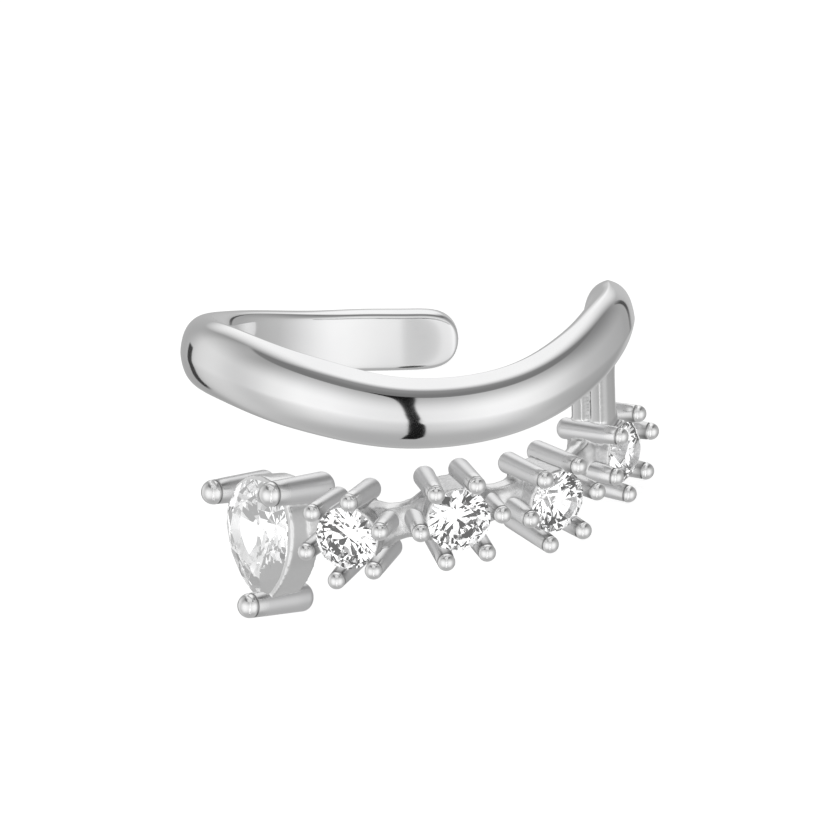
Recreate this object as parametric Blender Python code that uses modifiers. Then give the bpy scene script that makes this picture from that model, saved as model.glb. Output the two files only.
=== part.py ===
"""Ear cuff: an open, wavy silver band with a flat paddle at one end, and a row of five clear stones.

Metres, +Z up. Run it with: blender --background --python part.py
The cuff is drawn with the band's axis upright and its front towards -Y. It is then laid the way it
lies by itself on a table, and the origin is the middle of its box at the height of the table.
"""
import math
from collections import namedtuple

import bmesh
import bpy
from mathutils import Matrix, Vector

# Band, from the ear side to the outside and along the ring axis
BAND_RADIUS = 0.00560        # ring axis to the middle of the band
BAND_HEIGHT = 0.00187
BAND_THICKNESS = 0.00132
WAVE_RISE = 0.00112          # how far the right end stands above the front of the band
BAND_END = 93.0              # azimuth in degrees where the dome of the right end begins
BAND_DOME = 0.00073          # length of that dome

# Paddle, the flat end that lies behind the ear
PADDLE_THICKNESS = 0.00084
PADDLE_CORNER = 0.00062      # radius of its two corners, seen from the ear
PADDLE_EDGE = 0.00020        # radius along its edges
PADDLE_PAD = 0.00180         # length of its straight end
PADDLE_START = -176.5        # azimuth in degrees where that straight end begins

# Row of stones under the band
ROW_RADIUS = 0.00580
ROW_SHIFT = 0.00042          # the row's own centre lies this far to the right of the ring axis
ROW_DROP = 0.00290           # height of the band's middle above the second round stone

# Round stones and their claw settings
STONE_RADIUS = 0.00085
STONE_DEPTH = 0.00074        # girdle to culet
STONE_CROWN = 0.00027        # girdle to table
CLAW_TIP = 0.00024           # radius of a claw's ball tip
CLAW_FOOT = 0.00030          # radius of its rounded back end
CLAW_STANDOFF = 0.00003      # claw's side to the girdle, before the seat is cut
CLAW_SPLAY = 0.00015         # how much further out a claw stands at its tip than at its back
CLAW_FRONT = 0.00027         # ball's middle in front of the girdle
CLAW_BACK = 0.00145          # back end's middle behind the girdle
CUP_BACK = 0.00138           # back of the cup behind the girdle
CUP_TAPER = 0.00006          # how much narrower the cup is at its back
CUP_BORE = 0.00042           # radius of the light hole behind the stone

# Where the facets of both cuts meet: sizes as shares of the girdle's, heights of crown and depth
TABLE_SHARE = 0.56
BEZEL_SHARE = 0.80
BEZEL_RISE = 0.60
GIRDLE_SHARE = 0.02          # half the girdle's thickness, of the stone's radius
PAVILION_SHARE = 0.34
PAVILION_DROP = 0.70

# Pear stone and its walled setting, sizes taken from the middle of its round head
PEAR_HALF_WIDTH = 0.00124
PEAR_HEAD = 0.00126
PEAR_POINT = 0.00198
PEAR_DEPTH = 0.00102
PEAR_DRAW_IN = 0.4           # 0 leaves a plain ellipse, more draws its lower half in
PEAR_CROWN = 0.00036
PEAR_WALL = 0.00012          # wall outside the girdle
PEAR_WALL_BACK = 0.00112
PEAR_WINDOW = 0.5            # light hole behind the pear, as a share of its outline
PEAR_CLAW = 0.00034          # radius of its three claws' ball tips
PEAR_CLAW_FOOT = 0.00041     # radius of their back ends
PEAR_CLAW_FRONT = 0.00045
PEAR_CLAW_BACK = 0.00138
PEAR_CLAW_BITE = 0.00007     # how far a shoulder claw reaches over the girdle
PEAR_POINT_BITE = 0.00020    # how far the lowest claw reaches over the stone's point
PEAR_SHOULDER = 38.0         # angle in degrees of the upper claws above the stone's waist

# Bars between the settings, and the post that carries the row
BAR_HEIGHT = 0.00098
BAR_THICKNESS = 0.00070
BAR_SETBACK = 0.00080        # bar's middle behind the girdles
BAR_ROUND = 0.35             # a corner's share of the bar's and the post's sides
POST_WIDTH = 0.00116         # across the band
POST_THICKNESS = 0.00092     # along the band
POST_AZIMUTH = 63.0
POST_FOOT = 0.00090          # foot's middle behind the last girdle
SEAT_GAP = 0.00005           # clearance round every stone
RIM_DROP = 0.00006           # front rim of a cup or wall behind the girdle

SILVER_DENSITY = 10360.0
STONE_DENSITY = 5700.0

CLAW_COUNT = 6
CLAW_BLUNT = 0.75            # a claw's back end is this much flatter than a ball

# Facets of the faceted model
CORNER_STEPS = 3
CLAW_SIDES = 8
CUP_SIDES = 20
PEAR_SIDES = 24
BAND_STEP = 6.0
DOME_ANGLES = (82, 66, 44, 22)       # rings over the band's right end, in degrees up its dome
CORNER_ANGLES = (30, 55, 75, 90)     # rings round the paddle's corners
CLAW_ANGLES = (0, 30, 60)            # rings over a claw's two ends

# Sections round the band. Azimuth is in degrees from the front, to the right. Reach is a share of
# BAND_RADIUS, rise of WAVE_RISE, height of BAND_HEIGHT. Flat is 0 on the round stretch and 1 on
# the paddle, and stout is a share of the thickness that flat gives.
Section = namedtuple("Section", "azimuth reach rise height stout flat")
BAND = [
    Section(-200, 1.036, -1.00, 0.92, 1.00, 1.00),
    Section(-180, 1.036, -1.04, 0.94, 1.00, 1.00),
    Section(-172, 1.036, -1.03, 0.95, 1.00, 1.00),
    Section(-150, 1.032, -0.91, 0.95, 1.00, 0.95),
    Section(-120, 1.021, -0.40, 0.97, 1.00, 0.68),
    Section(-90, 1.014, 0.12, 1.03, 1.00, 0.25),
    Section(-60, 0.993, 0.44, 1.11, 1.07, 0.02),
    Section(-30, 0.991, 0.28, 1.10, 1.07, 0.00),
    Section(0, 1.000, -0.02, 1.01, 1.00, 0.00),
    Section(30, 1.000, 0.12, 0.98, 1.00, 0.00),
    Section(60, 1.000, 0.74, 1.02, 1.04, 0.00),
    Section(70, 1.000, 0.95, 1.02, 1.05, 0.00),
    Section(80, 1.000, 1.04, 0.99, 1.05, 0.00),
    Section(100, 1.000, 1.00, 0.98, 1.04, 0.00),
]

# Settings from the free end of the row to the post. Azimuth is where the stone sits, facing is the
# azimuth it looks to, nose is its dip and roll its turn, all in degrees. Drop is a share of ROW_DROP.
Setting = namedtuple("Setting", "name azimuth drop facing nose roll")
ROW = [
    Setting("pear_stone", -50.5, 1.29, -47.0, -6.0, 12.0),
    Setting("round_stone_1", -20.5, 1.21, -19.5, 0.0, 21.0),
    Setting("round_stone_2", 9.5, 1.00, 13.0, 2.0, 9.0),
    Setting("round_stone_3", 38.5, 0.96, 35.5, 4.0, 9.0),
    Setting("round_stone_4", 73.0, 0.79, 60.0, 1.0, 19.0),
]

# How a bar or the post swells at its ends, as shares of its length and of its section
Swell = namedtuple("Swell", "along size")
BAR_SWELL = [Swell(0.0, 1.55), Swell(0.28, 1.35), Swell(0.38, 1.08), Swell(0.5, 1.0),
             Swell(0.62, 1.08), Swell(0.72, 1.35), Swell(1.0, 1.55)]
POST_SWELL = [Swell(0.0, 1.15), Swell(0.2, 1.05), Swell(0.5, 1.0), Swell(0.75, 1.0), Swell(1.0, 1.1)]


def clear_scene():
    for item in list(bpy.data.objects):
        bpy.data.objects.remove(item, do_unlink=True)


def new_collection(name):
    group = bpy.data.collections.new(name)
    bpy.context.scene.collection.children.link(group)
    return group


def new_object(name, mesh, group, matrix=None):
    item = bpy.data.objects.new(name, mesh)
    group.objects.link(item)
    if matrix is not None:
        item.matrix_world = matrix
    return item


def as_guide(item):
    """Marks an object that only shapes another one."""
    item.hide_render = True
    item.display_type = 'WIRE'
    return item


def principled(name, colour, metallic, roughness, transmission=0.0, ior=1.5):
    material = bpy.data.materials.new(name)
    material.use_nodes = True
    shader = material.node_tree.nodes["Principled BSDF"]
    shader.inputs["Base Color"].default_value = (*colour, 1.0)
    shader.inputs["Metallic"].default_value = metallic
    shader.inputs["Roughness"].default_value = roughness
    shader.inputs["Transmission Weight"].default_value = transmission
    shader.inputs["IOR"].default_value = ior
    material.diffuse_color = (*colour, 1.0)
    return material


def mix(a, b, share):
    return a + (b - a) * share


def between(table, column, along):
    """A smooth curve through one column of a table, whose first column is the distance along it."""
    places = [row[0] for row in table]
    values = [getattr(row, column) for row in table]
    k = 0
    while k < len(places) - 2 and along > places[k + 1]:
        k += 1

    def slope(i):
        low, high = max(i - 1, 0), min(i + 1, len(places) - 1)
        return (values[high] - values[low]) / (places[high] - places[low])

    span = places[k + 1] - places[k]
    t = (along - places[k]) / span
    rise_in, rise_out = slope(k) * span, slope(k + 1) * span
    start, end = values[k], values[k + 1]
    return ((2 * t**3 - 3 * t**2 + 1) * start + (t**3 - 2 * t**2 + t) * rise_in
            + (3 * t**2 - 2 * t**3) * end + (t**3 - t**2) * rise_out)


def loft(name, rings):
    """A closed skin through rings of points, with a flat face over each end."""
    bm = bmesh.new()
    loops = [[bm.verts.new(point) for point in ring] for ring in rings]
    for near, far in zip(loops, loops[1:]):
        for i in range(len(near)):
            j = (i + 1) % len(near)
            bm.faces.new((near[i], near[j], far[j], far[i]))
    bm.faces.new(loops[0])
    bm.faces.new(loops[-1])
    bmesh.ops.recalc_face_normals(bm, faces=bm.faces)
    bmesh.ops.triangulate(bm, faces=bm.faces)
    return mesh_of(name, bm)


def mesh_of(name, bm):
    mesh = bpy.data.meshes.new(name)
    bm.to_mesh(mesh)
    bm.free()
    return mesh


def rounded_section(height, thickness, outer, inner):
    """Points (out, up) round a section with elliptic corners, each given as (across, along)."""
    corners = [(1, 1, outer, 0), (-1, 1, inner, 90), (-1, -1, inner, 180), (1, -1, outer, 270)]
    points = []
    for out_side, up_side, (across, along), first in corners:
        for step in range(CORNER_STEPS + 1):
            angle = math.radians(first + 90 * step / CORNER_STEPS)
            points.append((out_side * (thickness / 2 - across) + across * math.cos(angle),
                           up_side * (height / 2 - along) + along * math.sin(angle)))
    return points


def band_section(height, thickness, flat):
    """A tall oval with a flatter ear side where flat is 0, a domed plate where it is 1."""
    half = height / 2
    outer = (mix(0.56, 0.34, flat) * thickness, mix(0.94, 0.70, flat) * half)
    inner = (mix(0.40 * thickness, PADDLE_EDGE, flat), mix(0.80 * half, PADDLE_EDGE, flat))
    return rounded_section(height, thickness, outer, inner)


def outward(azimuth):
    angle = math.radians(azimuth)
    return Vector((math.sin(angle), -math.cos(angle), 0.0))


def band_centre(azimuth):
    """Middle of the band; past PADDLE_START it goes on straight, as the paddle's pad does."""
    turn = max(azimuth, PADDLE_START)
    radius = BAND_RADIUS * between(BAND, "reach", turn)
    centre = outward(turn) * radius
    if azimuth < turn:
        centre += outward(turn - 90) * math.radians(turn - azimuth) * radius
    centre.z = WAVE_RISE * between(BAND, "rise", azimuth)
    return centre


def band_size(azimuth):
    flat = min(max(between(BAND, "flat", azimuth), 0.0), 1.0)
    height = BAND_HEIGHT * between(BAND, "height", azimuth)
    thickness = mix(BAND_THICKNESS, PADDLE_THICKNESS, flat) * between(BAND, "stout", azimuth)
    return height, thickness, flat


def band_ring(azimuth, height, thickness, flat):
    centre = band_centre(azimuth)
    ahead = band_centre(azimuth + 0.5) - band_centre(azimuth - 0.5)
    out = outward(max(azimuth, PADDLE_START))
    up = out.cross(ahead).normalized()
    return [centre + out * x + up * y for x, y in band_section(height, thickness, flat)]


def band_mesh():
    """The band from the domed right end, round the front and the left turn, to the paddle's end."""
    degree = math.radians(1) * BAND_RADIUS
    rings = []
    for angle in DOME_ANGLES:
        azimuth = BAND_END + BAND_DOME * math.sin(math.radians(angle)) / degree
        height, thickness, flat = band_size(azimuth)
        share = math.cos(math.radians(angle))
        rings.append(band_ring(azimuth, height * share, thickness * share, flat))
    paddle_end = PADDLE_START - PADDLE_PAD / degree
    last_full = paddle_end + PADDLE_CORNER / degree
    count = math.ceil((BAND_END - last_full) / BAND_STEP)
    for k in range(count + 1):
        azimuth = mix(BAND_END, last_full, k / count)
        rings.append(band_ring(azimuth, *band_size(azimuth)))
    for angle in CORNER_ANGLES:
        left = PADDLE_CORNER * (1 - math.sin(math.radians(angle)))
        azimuth = paddle_end + left / degree
        height, thickness, flat = band_size(azimuth)
        corner = PADDLE_CORNER * (1 - math.cos(math.radians(angle)))
        near = max(0.0, 1 - left / PADDLE_EDGE)
        edge = PADDLE_EDGE * (1 - math.sqrt(1 - near**2))
        rings.append(band_ring(azimuth, height - 2 * corner, thickness - 2 * edge, flat))
    return loft("band", rings)


def setting_matrix(row):
    """Setting's own frame: +Z looks out of the stone's table, +Y up, +X to the right."""
    place = outward(row.azimuth) * ROW_RADIUS
    place += Vector((ROW_SHIFT, 0.0, -ROW_DROP * row.drop))
    upright = Matrix.Rotation(math.radians(90 + row.nose), 4, 'X')
    return (Matrix.Translation(place) @ Matrix.Rotation(math.radians(row.facing), 4, 'Z') @ upright
            @ Matrix.Rotation(math.radians(row.roll), 4, 'Z'))


def turned(name, profile, sides):
    """A solid of revolution about Z from (radius, height) points, lowest first."""
    bm = bmesh.new()
    verts = [bm.verts.new((radius, 0.0, height)) for radius, height in reversed(profile)]
    for a, b in zip(verts, verts[1:]):
        bm.edges.new((a, b))
    item = bpy.data.objects.new(name, mesh_of(name, bm))
    bpy.context.scene.collection.objects.link(item)
    screw = item.modifiers.new("turn", 'SCREW')
    screw.steps = sides
    screw.render_steps = sides
    screw.use_merge_vertices = True
    screw.merge_threshold = 0.000001
    mesh = baked(item)
    bpy.data.objects.remove(item)
    return mesh


def baked(item):
    bpy.context.view_layer.update()
    view = bpy.context.evaluated_depsgraph_get()
    return bpy.data.meshes.new_from_object(item.evaluated_get(view))


def claw_mesh(name, foot, tip, length, sides):
    """A claw from its rounded back end at the origin to its ball tip, along +Z."""
    quarter = [math.radians(angle) for angle in CLAW_ANGLES]
    profile = [(0.0, -foot * CLAW_BLUNT)]
    profile += [(foot * math.cos(a), -foot * CLAW_BLUNT * math.sin(a)) for a in reversed(quarter)]
    profile += [(tip * math.cos(a), length + tip * math.sin(a)) for a in quarter]
    profile += [(0.0, length + tip)]
    return turned(name, profile, sides)


def along_z(start, end):
    """A frame at start whose +Z points to end."""
    turn = (end - start).to_track_quat('Z', 'Y')
    return Matrix.Translation(start) @ turn.to_matrix().to_4x4()


def round_claws(place, group, number):
    tip_circle = STONE_RADIUS + CLAW_STANDOFF + CLAW_TIP
    foot_circle = tip_circle - CLAW_SPLAY
    start = Vector((foot_circle, 0.0, -CLAW_BACK))
    end = Vector((tip_circle, 0.0, CLAW_FRONT))
    mesh = claw_mesh("claw", CLAW_FOOT, CLAW_TIP, (end - start).length, CLAW_SIDES)
    for k in range(CLAW_COUNT):
        turn = Matrix.Rotation(math.radians(360 * k / CLAW_COUNT), 4, 'Z')
        claw = new_object(f"claw_{number}_{k + 1}", mesh, group, place @ turn @ along_z(start, end))
        as_guide(claw)


def cone_mesh(name, front, back, near, far, sides):
    """A plain cone from depth near to depth far behind the girdle."""
    bm = bmesh.new()
    bmesh.ops.create_cone(bm, cap_ends=True, segments=sides, radius1=back, radius2=front,
                          depth=far - near)
    bmesh.ops.translate(bm, verts=bm.verts, vec=(0, 0, -(near + far) / 2))
    return mesh_of(name, bm)


def brilliant_mesh(name, grow=0.0):
    """A round brilliant: table, star, bezel and girdle facets, then the pavilion to its culet."""
    share = 1 + grow / STONE_RADIUS
    radius, crown, depth = STONE_RADIUS * share, STONE_CROWN * share, STONE_DEPTH * share
    girdle = GIRDLE_SHARE * radius
    bm = bmesh.new()

    def circle(count, size, height, turn=0.0):
        for k in range(count):
            angle = math.radians(360 * k / count + turn)
            bm.verts.new((size * radius * math.cos(angle), size * radius * math.sin(angle), height))

    circle(8, TABLE_SHARE, crown, 22.5)
    circle(8, BEZEL_SHARE, mix(girdle, crown, BEZEL_RISE))
    circle(16, 1.0, girdle)
    circle(16, 1.0, -girdle)
    circle(8, PAVILION_SHARE, -depth * PAVILION_DROP)
    bm.verts.new((0.0, 0.0, -depth))
    return hull_mesh(name, bm)


def hull_mesh(name, bm):
    result = bmesh.ops.convex_hull(bm, input=bm.verts)
    unused = set(result["geom_interior"]) | set(result["geom_unused"])
    bmesh.ops.delete(bm, geom=[v for v in unused if isinstance(v, bmesh.types.BMVert)], context='VERTS')
    bmesh.ops.recalc_face_normals(bm, faces=bm.faces)
    return mesh_of(name, bm)


def pear_outline(grow=0.0, size=1.0):
    """Points round the pear, point down: half an ellipse, whose lower half draws in to a point."""
    width, head, point = (length * size + grow for length in (PEAR_HALF_WIDTH, PEAR_HEAD, PEAR_POINT))
    points = []
    for k in range(PEAR_SIDES):
        angle = math.radians(360 * k / PEAR_SIDES)
        across, along = math.cos(angle), math.sin(angle)
        if along < 0:
            across *= abs(across)**PEAR_DRAW_IN
        points.append((width * across, (head if along > 0 else point) * along))
    return points


def pear_stone_mesh(name, grow=0.0):
    share = 1 + grow / PEAR_HALF_WIDTH
    crown, depth, girdle = PEAR_CROWN * share, PEAR_DEPTH * share, GIRDLE_SHARE * PEAR_HALF_WIDTH
    bm = bmesh.new()
    levels = [(TABLE_SHARE, crown), (BEZEL_SHARE, mix(girdle, crown, BEZEL_RISE)), (1.0, girdle),
              (1.0, -girdle), (PAVILION_SHARE, -depth * PAVILION_DROP)]
    for size, height in levels:
        outline = pear_outline(size=size * share)
        step = 1 if size == 1.0 else 2
        for x, y in outline[::step]:
            bm.verts.new((x, y, height))
    bm.verts.new((0.0, 0.0, -depth))
    return hull_mesh(name, bm)


def pear_claws(place, group):
    """Two claws at the shoulders and one over the point, all straight back."""
    shoulder = math.radians(PEAR_SHOULDER)
    reach = (PEAR_HALF_WIDTH + PEAR_HEAD) / 2 + PEAR_CLAW - PEAR_CLAW_BITE
    lowest = PEAR_POINT + PEAR_CLAW - PEAR_POINT_BITE
    side, high = reach * math.cos(shoulder), reach * math.sin(shoulder)
    spots = [(-side, high), (side, high), (0.0, -lowest)]
    mesh = claw_mesh("pear_claw", PEAR_CLAW_FOOT, PEAR_CLAW, PEAR_CLAW_BACK + PEAR_CLAW_FRONT, CLAW_SIDES + 4)
    for k, (x, y) in enumerate(spots):
        spot = Matrix.Translation((x, y, -PEAR_CLAW_BACK))
        as_guide(new_object(f"pear_claw_{k + 1}", mesh, group, place @ spot))


def pear_prism(name, near, far, front, back, size):
    """The pear outline as a solid from depth near to depth far behind the girdle."""
    return loft(name, [[(x, y, -near) for x, y in pear_outline(front, size)],
                       [(x, y, -far) for x, y in pear_outline(back, size)]])


def bar_ring(centre, out, up, height, thickness):
    corner = (BAR_ROUND * thickness, BAR_ROUND * height)
    return [centre + out * x + up * y for x, y in rounded_section(height, thickness, corner, corner)]


def bar_mesh(first, second):
    """A bar from inside one cup to inside the next, waisted between them."""
    start = first @ Vector((0, 0, -BAR_SETBACK))
    end = second @ Vector((0, 0, -BAR_SETBACK))
    way = (end - start).normalized()
    out = way.cross(Vector((0, 0, 1))).normalized()
    up = out.cross(way).normalized()
    rings = []
    for swell in BAR_SWELL:
        centre = start.lerp(end, swell.along)
        rings.append(bar_ring(centre, out, up, BAR_HEIGHT * swell.size, BAR_THICKNESS * swell.size))
    return loft("bar", rings)


def post_mesh(last):
    """The post from inside the last cup up into the band."""
    foot = last @ Vector((0, 0, -POST_FOOT))
    head = band_centre(POST_AZIMUTH)
    out = outward(POST_AZIMUTH)
    along = outward(POST_AZIMUTH - 90)
    rings = []
    for swell in POST_SWELL:
        centre = foot.lerp(head, swell.along)
        rings.append(bar_ring(centre, along, out, POST_WIDTH * swell.size, POST_THICKNESS * swell.size))
    return loft("post", rings)


def build_row(solder, cutters):
    """Settings, bars and post that are soldered to the band, and what is cut out for the stones."""
    places = [setting_matrix(row) for row in ROW]
    pear_claws(places[0], solder)
    wall = pear_prism("pear_wall", RIM_DROP, PEAR_WALL_BACK, PEAR_WALL, PEAR_WALL / 2, 1.0)
    as_guide(new_object("pear_wall", wall, solder, places[0]))
    window = pear_prism("pear_window", 0.0, 2 * PEAR_WALL_BACK, 0.0, 0.0, PEAR_WINDOW)
    as_guide(new_object("pear_window", window, cutters, places[0]))
    seat = pear_stone_mesh("pear_seat", SEAT_GAP)
    as_guide(new_object("pear_seat", seat, cutters, places[0]))

    cup_front = STONE_RADIUS + CLAW_STANDOFF
    cup = cone_mesh("cup", cup_front, cup_front - CUP_TAPER, RIM_DROP, CUP_BACK, CUP_SIDES)
    bore = cone_mesh("bore", CUP_BORE, CUP_BORE, 0.0, 2 * CUP_BACK, CUP_SIDES)
    seat = brilliant_mesh("round_seat", SEAT_GAP)
    for number, place in enumerate(places[1:], start=1):
        as_guide(new_object(f"cup_{number}", cup, solder, place))
        round_claws(place, solder, number)
        as_guide(new_object(f"bore_{number}", bore, cutters, place))
        as_guide(new_object(f"round_seat_{number}", seat, cutters, place))
    for number, (first, second) in enumerate(zip(places, places[1:]), start=1):
        as_guide(new_object(f"bar_{number}", bar_mesh(first, second), solder))
    as_guide(new_object("post", post_mesh(places[-1]), solder))


def build_frame(group, solder, cutters):
    """All the silver as one solid: the band with the row soldered on and the seats cut."""
    frame = new_object("cuff_frame", band_mesh(), group)
    for name, tools, operation in (("solder", solder, 'UNION'), ("seats", cutters, 'DIFFERENCE')):
        step = frame.modifiers.new(name, 'BOOLEAN')
        step.operand_type = 'COLLECTION'
        step.collection = tools
        step.operation = operation
        step.solver = 'EXACT'
    solid = baked(frame)
    frame.modifiers.clear()
    frame.data = solid
    solid.name = "cuff_frame"
    solid.materials.clear()
    solid.materials.append(principled("polished_silver", (0.80, 0.80, 0.81), 1.0, 0.12))
    solid.shade_smooth()
    solid.set_sharp_from_angle(angle=math.radians(40))
    return frame


def build_stones(group):
    round_mesh = brilliant_mesh("round_stone")
    round_mesh.materials.append(principled("round_crystal", (0.95, 0.95, 0.96), 0.0, 0.02, 0.9, 2.1))
    pear_mesh = pear_stone_mesh("pear_stone")
    pear_mesh.materials.append(principled("pear_crystal", (0.95, 0.95, 0.96), 0.0, 0.02, 0.9, 2.1))
    for row in ROW:
        mesh = pear_mesh if row is ROW[0] else round_mesh
        new_object(row.name, mesh, group, setting_matrix(row))


def weight_and_middle(items):
    """Mass of the pieces and their common centre of mass, from their closed meshes."""
    mass, moment = 0.0, Vector()
    for item in items:
        density = SILVER_DENSITY if item.name == "cuff_frame" else STONE_DENSITY
        mesh = item.data
        mesh.calc_loop_triangles()
        for triangle in mesh.loop_triangles:
            a, b, c = (item.matrix_world @ mesh.vertices[k].co for k in triangle.vertices)
            part = density * a.dot(b.cross(c)) / 6
            mass += part
            moment += part * (a + b + c) / 4
    return mass, moment / mass


def resting_turn(items):
    """The turn that lays the cuff on the face of its hull, nearest below it, that carries its weight."""
    bm = bmesh.new()
    for item in items:
        for vertex in item.data.vertices:
            bm.verts.new(item.matrix_world @ vertex.co)
    bmesh.ops.convex_hull(bm, input=bm.verts)
    bm.normal_update()
    middle = weight_and_middle(items)[1]
    best = None
    for face in bm.faces:
        if best is not None and face.normal.z > best.z:
            continue
        corners = [loop.vert.co for loop in face.loops]
        foot = middle - face.normal * (middle - corners[0]).dot(face.normal)
        sides = [(b - a).cross(foot - a).dot(face.normal) for a, b in zip(corners, corners[1:] + corners[:1])]
        if min(sides) > 0:
            best = face.normal.copy()
    bm.free()
    return best.rotation_difference(Vector((0, 0, -1))).to_matrix().to_4x4()


def lay_down(items):
    """Turns and moves every piece so that the cuff rests at z = 0 with its box over the origin."""
    turn = resting_turn(items)
    corners = [turn @ item.matrix_world @ v.co for item in items for v in item.data.vertices]
    low = Vector([min(c[k] for c in corners) for k in range(3)])
    high = Vector([max(c[k] for c in corners) for k in range(3)])
    middle = (low + high) / 2
    move = Matrix.Translation((-middle.x, -middle.y, -low.z)) @ turn
    for item in items:
        item.matrix_world = move @ item.matrix_world
    return move


def main():
    clear_scene()
    group = new_collection("ear_cuff")
    solder = new_collection("cuff_solder")
    cutters = new_collection("cuff_cutters")
    build_row(solder, cutters)
    build_frame(group, solder, cutters)
    build_stones(group)
    bpy.context.view_layer.update()
    move = lay_down(list(group.objects))
    for guide in list(solder.objects) + list(cutters.objects):
        guide.matrix_world = move @ guide.matrix_world
    bpy.context.view_layer.update()
    return move


main()
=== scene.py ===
# %% [markdown]
# # A silver ear cuff with five clear stones
# This lesson dresses a small jewel for its picture. The solid model of the cuff was made before,
# with sizes read from one photo, and comes in as a fixed frame. Here every part gets its surface:
# mirror-bright silver on the band, the grainier skin of a casting between the stones, cut crystal.
# We load the frame first. The finished jewel may not grow out of it.

# %% Load the solid model
import math

import bmesh
import bpy
import numpy as np
from mathutils import Matrix, Vector


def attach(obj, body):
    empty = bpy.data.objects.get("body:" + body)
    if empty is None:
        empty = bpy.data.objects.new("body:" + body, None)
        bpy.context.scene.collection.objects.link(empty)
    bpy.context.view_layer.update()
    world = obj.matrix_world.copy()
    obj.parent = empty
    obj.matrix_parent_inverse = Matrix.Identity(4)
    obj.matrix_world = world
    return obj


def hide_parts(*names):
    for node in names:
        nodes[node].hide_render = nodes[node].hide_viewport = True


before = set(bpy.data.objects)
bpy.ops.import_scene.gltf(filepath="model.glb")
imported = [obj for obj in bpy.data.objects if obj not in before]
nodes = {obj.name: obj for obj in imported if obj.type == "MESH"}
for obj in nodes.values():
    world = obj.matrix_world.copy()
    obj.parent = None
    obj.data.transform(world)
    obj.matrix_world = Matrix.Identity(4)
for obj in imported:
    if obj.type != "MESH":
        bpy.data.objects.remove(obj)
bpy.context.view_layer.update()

print("nodes:", ", ".join(sorted(nodes)))

# %% [markdown]
# ## The sizes of the jewel
# A goldsmith thinks in millimetres, and Blender's remesher dislikes very small numbers, so all
# pieces are drawn in millimetres and shrunk to metres at the end. The cuff is drawn as if it stood
# on the ear: the band's axis points up, its front looks to -Y. We call this the ring frame.

# %% Band and paddle, in millimetres
BAND_RADIUS = 5.60
BAND_HEIGHT = 1.87
BAND_THICKNESS = 1.32
WAVE_RISE = 1.12
BAND_END = 93.0
BAND_DOME = 0.73
PADDLE_THICKNESS = 0.84
PADDLE_CORNER = 0.80
PADDLE_EDGE = 0.20
PADDLE_PAD = 1.80
PADDLE_START = -176.5

# Sections of the band: azimuth from the front to the right in degrees, then the reach as a share of
# BAND_RADIUS, the rise of WAVE_RISE, the height of BAND_HEIGHT, how stout and how flat it is
BAND = np.array([
    (-200, 1.036, -1.00, 0.92, 1.00, 1.00),
    (-180, 1.036, -1.04, 0.94, 1.00, 1.00),
    (-172, 1.036, -1.03, 0.95, 1.00, 1.00),
    (-150, 1.032, -0.91, 0.95, 1.00, 0.95),
    (-120, 1.021, -0.40, 0.97, 1.00, 0.68),
    (-90, 1.014, 0.12, 1.03, 1.00, 0.25),
    (-60, 0.993, 0.44, 1.11, 1.07, 0.02),
    (-30, 0.991, 0.28, 1.10, 1.07, 0.00),
    (0, 1.000, -0.02, 1.01, 1.00, 0.00),
    (30, 1.000, 0.12, 0.98, 1.00, 0.00),
    (60, 1.000, 0.74, 1.02, 1.04, 0.00),
    (70, 1.000, 0.95, 1.02, 1.05, 0.00),
    (80, 1.000, 1.04, 0.99, 1.05, 0.00),
    (100, 1.000, 1.00, 0.98, 1.04, 0.00),
])
REACH, RISE, HEIGHT, STOUT, FLAT = 1, 2, 3, 4, 5
print("the band's table has", len(BAND), "sections")

# %% Stones and their settings, in millimetres
ROW_RADIUS = 5.80
ROW_SHIFT = 0.42
ROW_DROP = 2.90
STONE_RADIUS = 0.85
STONE_DEPTH = 0.74
STONE_CROWN = 0.27
CLAW_TIP = 0.24
CLAW_FOOT = 0.30
CLAW_STANDOFF = 0.03
CLAW_SPLAY = 0.15
CLAW_FRONT = 0.27
CLAW_BACK = 1.45
CLAW_BLUNT = 0.75
CUP_BACK = 1.38
CUP_TAPER = 0.06
LIGHT_HOLE = 0.5
PEAR_HALF_WIDTH = 1.24
PEAR_HEAD = 1.26
PEAR_POINT = 1.98
PEAR_DEPTH = 1.02
PEAR_DRAW_IN = 0.4
PEAR_CROWN = 0.36
PEAR_WALL = 0.12
PEAR_WALL_BACK = 1.12
PEAR_CLAW = 0.34
PEAR_CLAW_FOOT = 0.41
PEAR_CLAW_FRONT = 0.45
PEAR_CLAW_BACK = 1.38
PEAR_CLAW_BITE = 0.07
PEAR_POINT_BITE = 0.20
PEAR_SHOULDER = 38.0
BAR_HEIGHT = 0.98
BAR_THICKNESS = 0.70
BAR_SETBACK = 0.80
POST_WIDTH = 1.16
POST_THICKNESS = 0.92
POST_AZIMUTH = 63.0
POST_FOOT = 0.90
RIM_DROP = 0.06

# Each stone: name, azimuth, drop as a share of ROW_DROP, then facing, nose and roll in degrees
ROW = [
    ("pear_stone", -50.5, 1.29, -47.0, -6.0, 12.0),
    ("round_stone_1", -20.5, 1.21, -19.5, 0.0, 21.0),
    ("round_stone_2", 9.5, 1.00, 13.0, 2.0, 9.0),
    ("round_stone_3", 38.5, 0.96, 35.5, 4.0, 9.0),
    ("round_stone_4", 73.0, 0.79, 60.0, 1.0, 19.0),
]


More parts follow.
